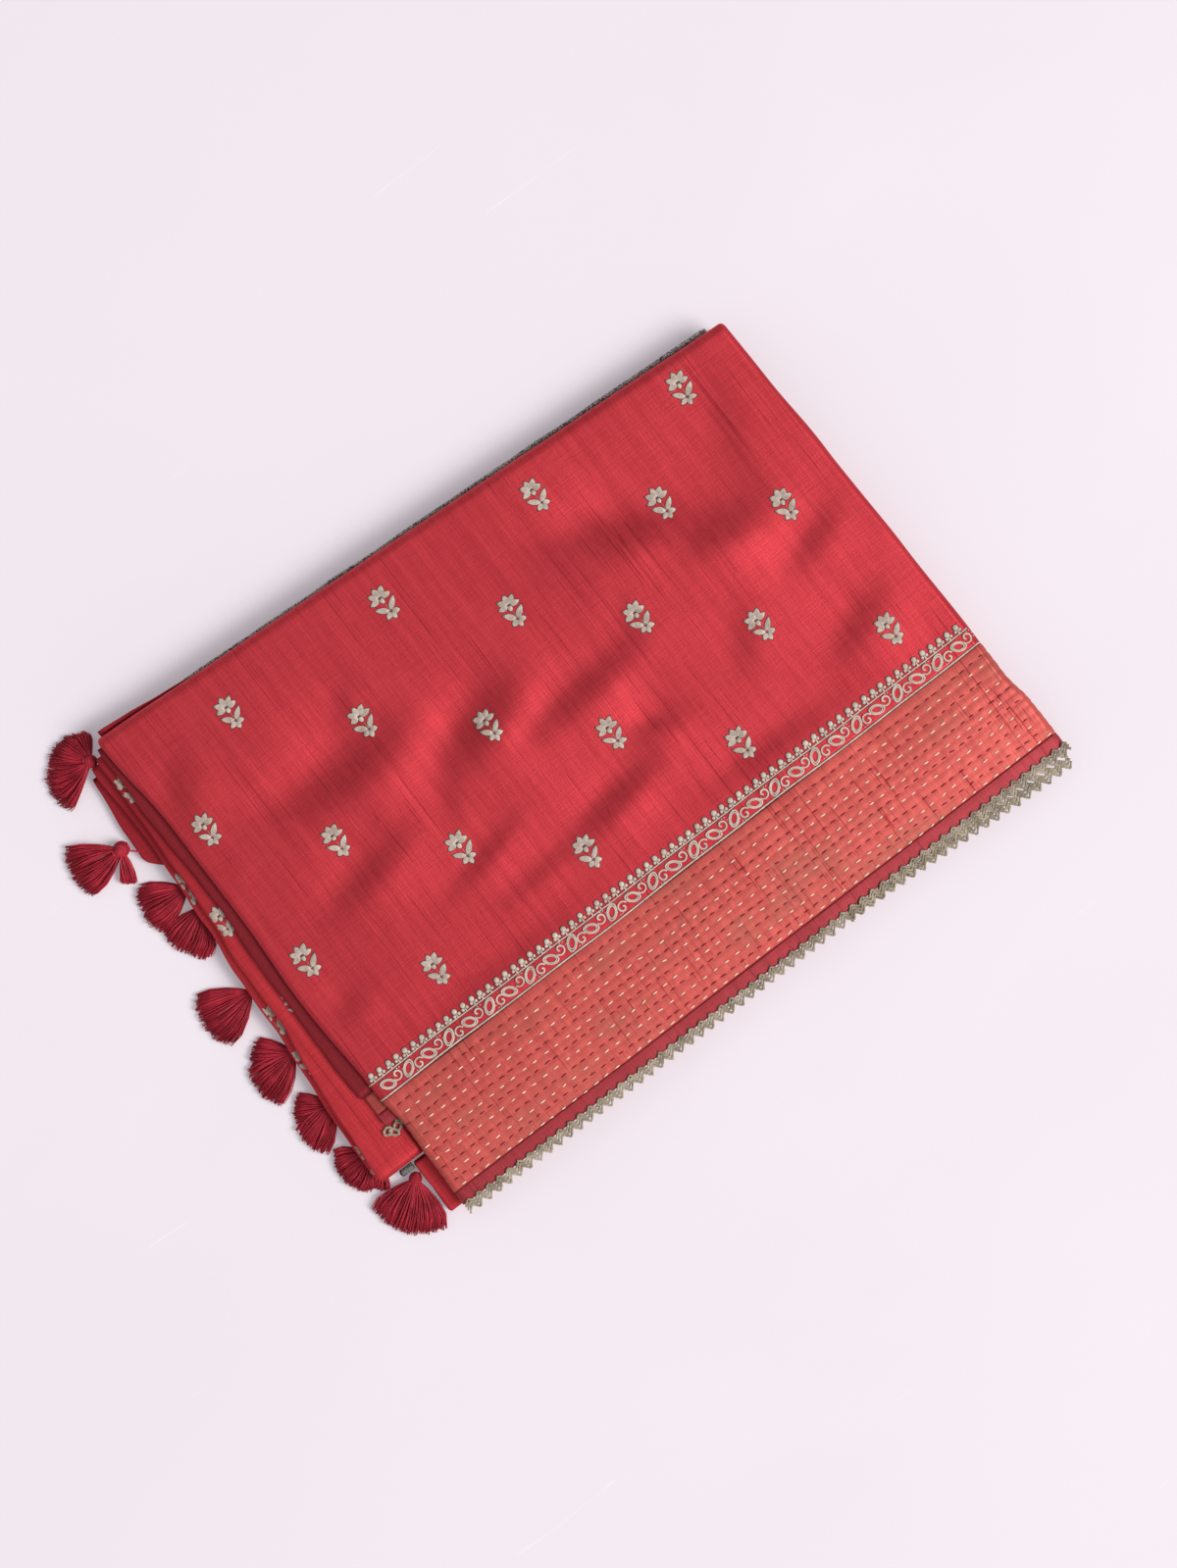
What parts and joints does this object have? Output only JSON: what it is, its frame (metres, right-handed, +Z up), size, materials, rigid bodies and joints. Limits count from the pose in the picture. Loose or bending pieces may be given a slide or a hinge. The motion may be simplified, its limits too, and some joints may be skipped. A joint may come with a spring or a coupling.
{
  "type": "folded silk sari",
  "caption": "Raw-silk sari folded into a flat rectangle, with a stitched border, crochet lace along its hem and tassels on its end.",
  "frame": {"origin": "middle of the underside of the part's box, on the surface that the folded cloth lies on", "axes": "+Z up out of the stack, +X along the border from the tasselled side to the plain side, +Y from the laced hem to the back fold"},
  "size_m": [0.4312, 0.3152, 0.0267],
  "materials": {
    "red_silk": "raw silk with slubs and a soft sheen",
    "coral_silk": "raw silk puckered by running stitch",
    "hem_silk": "dark red silk binding",
    "thread": "twisted beige embroidery thread",
    "crochet": "matt crochet cotton",
    "print": "beige printed cloth with a dark scroll pattern",
    "tassel": "loose crimson silk yarn"
  },
  "bodies": {
    "root": {"inner_layers": "red_silk", "body_panel": "red_silk", "vine_band": "thread", "kantha_strip": "coral_silk", "hem_strip": "hem_silk", "upper_lace": "crochet", "lower_lace": "crochet", "fold_1": "red_silk", "fold_2": "red_silk", "fold_3": "red_silk", "fold_4": "red_silk", "second_kantha": "coral_silk", "second_hem": "hem_silk", "second_lace": "crochet", "low_flap": "red_silk", "print_corner": "print", "print_fold": "print", "back_fold": "red_silk", "tassel_01": "tassel", "tassel_02": "tassel", "tassel_03": "tassel", "tassel_04": "tassel", "tassel_05": "tassel", "tassel_06": "tassel", "tassel_07": "tassel", "tassel_08": "tassel", "tassel_09": "tassel", "tassel_10": "tassel"}
  },
  "joints": []
}
